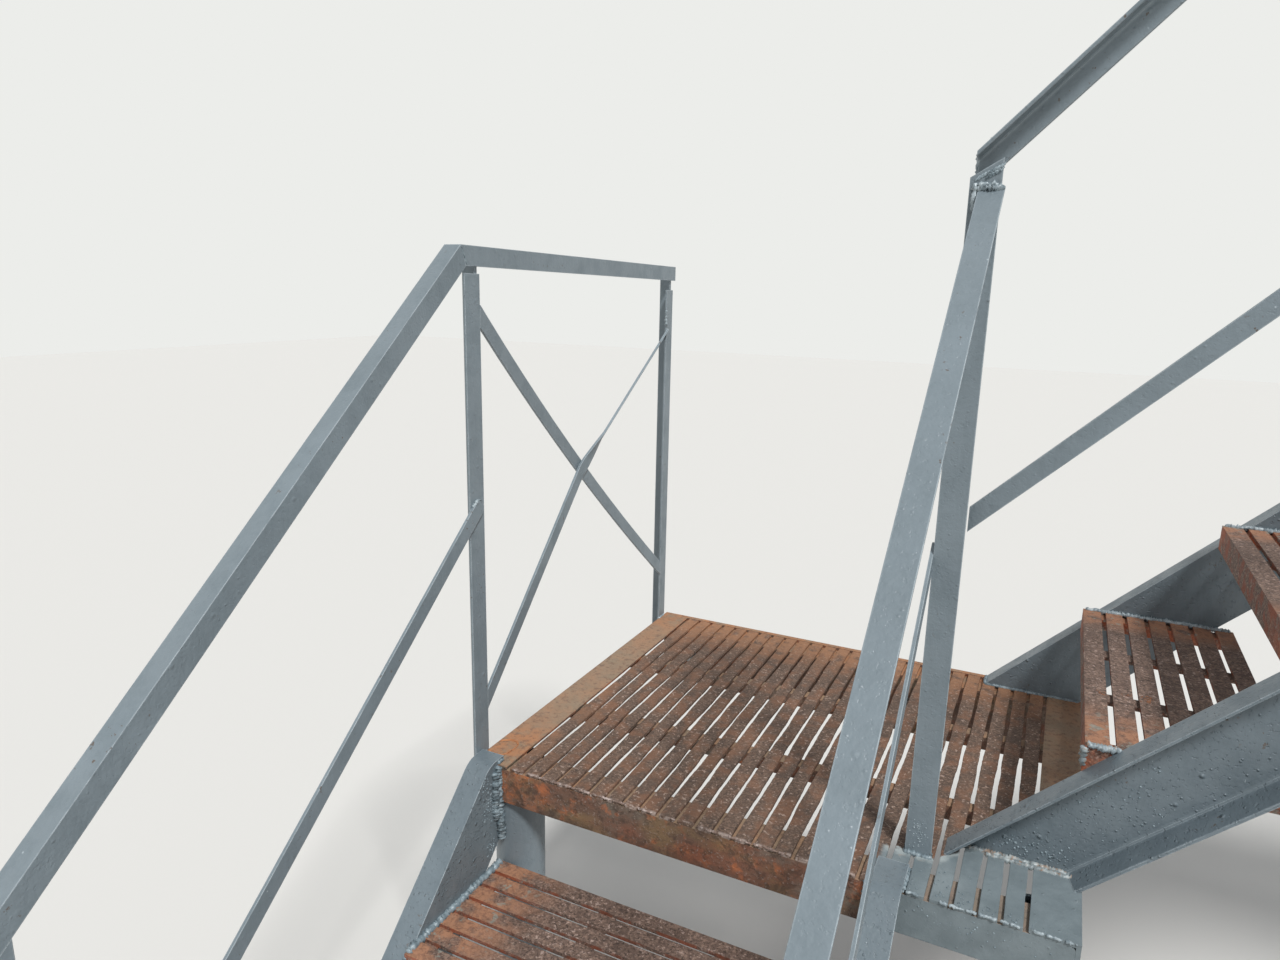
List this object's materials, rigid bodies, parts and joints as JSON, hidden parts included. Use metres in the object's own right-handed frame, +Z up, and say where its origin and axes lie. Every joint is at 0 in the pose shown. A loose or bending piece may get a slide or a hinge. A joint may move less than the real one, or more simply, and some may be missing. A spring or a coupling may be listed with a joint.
{
  "type": "fire escape stair",
  "caption": "Steel fire escape: a slatted landing on pipe columns, a short flight down to the ground and a flight along the wall to a top landing, with angle rails.",
  "frame": {"origin": "on the wall face of the lower landing's ledger, at the middle of its length and height", "axes": "+X along the wall the way the upper flight climbs, +Y into the wall, +Z up"},
  "size_m": [3.4998, 1.6678, 3.401],
  "materials": {
    "grey_paint": "semi-gloss slate grey paint, brushed on thick, weathered",
    "rusty_slats": "matte brown rust with little paint left",
    "rusty_frame": "matte orange and brown rust under flaking grey paint",
    "worn_treads": "grey paint worn to rust at the ends and edges"
  },
  "bodies": {
    "root": {"wall_ledger": "rusty_frame", "deck_back_angle": "rusty_frame", "deck_front_angle": "rusty_frame", "deck_left_angle": "rusty_frame", "deck_right_angle": "grey_paint", "deck_cross_bars": "rusty_frame", "deck_slats": "rusty_slats", "columns": "grey_paint", "lower_stringer_left": "grey_paint", "lower_stringer_right": "grey_paint", "lower_tread_1": "worn_treads", "lower_tread_2": "worn_treads", "lower_tread_3": "worn_treads", "lower_handrail_left": "grey_paint", "lower_handrail_right": "grey_paint", "lower_midrails": "grey_paint", "lower_posts": "grey_paint", "guard_posts": "grey_paint", "guard_top_rail": "grey_paint", "guard_brace_down": "grey_paint", "guard_brace_up": "grey_paint", "newel_post": "grey_paint", "upper_stringer_outer": "grey_paint", "upper_stringer_wall": "grey_paint", "upper_tread_1": "worn_treads", "upper_tread_2": "worn_treads", "upper_tread_3": "worn_treads", "upper_tread_4": "worn_treads", "upper_tread_5": "worn_treads", "upper_tread_6": "worn_treads", "upper_tread_7": "worn_treads", "upper_handrail": "grey_paint", "upper_midrail": "grey_paint", "upper_post": "grey_paint", "top_ledger": "grey_paint", "top_back_angle": "rusty_frame", "top_front_angle": "rusty_frame", "top_side_angles": "rusty_frame", "top_cross_bars": "rusty_frame", "top_slats": "rusty_slats", "top_struts": "grey_paint", "top_posts": "grey_paint", "top_rail_front": "grey_paint", "top_rail_end": "grey_paint", "top_midrail": "grey_paint", "top_brace_down": "grey_paint", "top_brace_up": "grey_paint"}
  },
  "joints": []
}
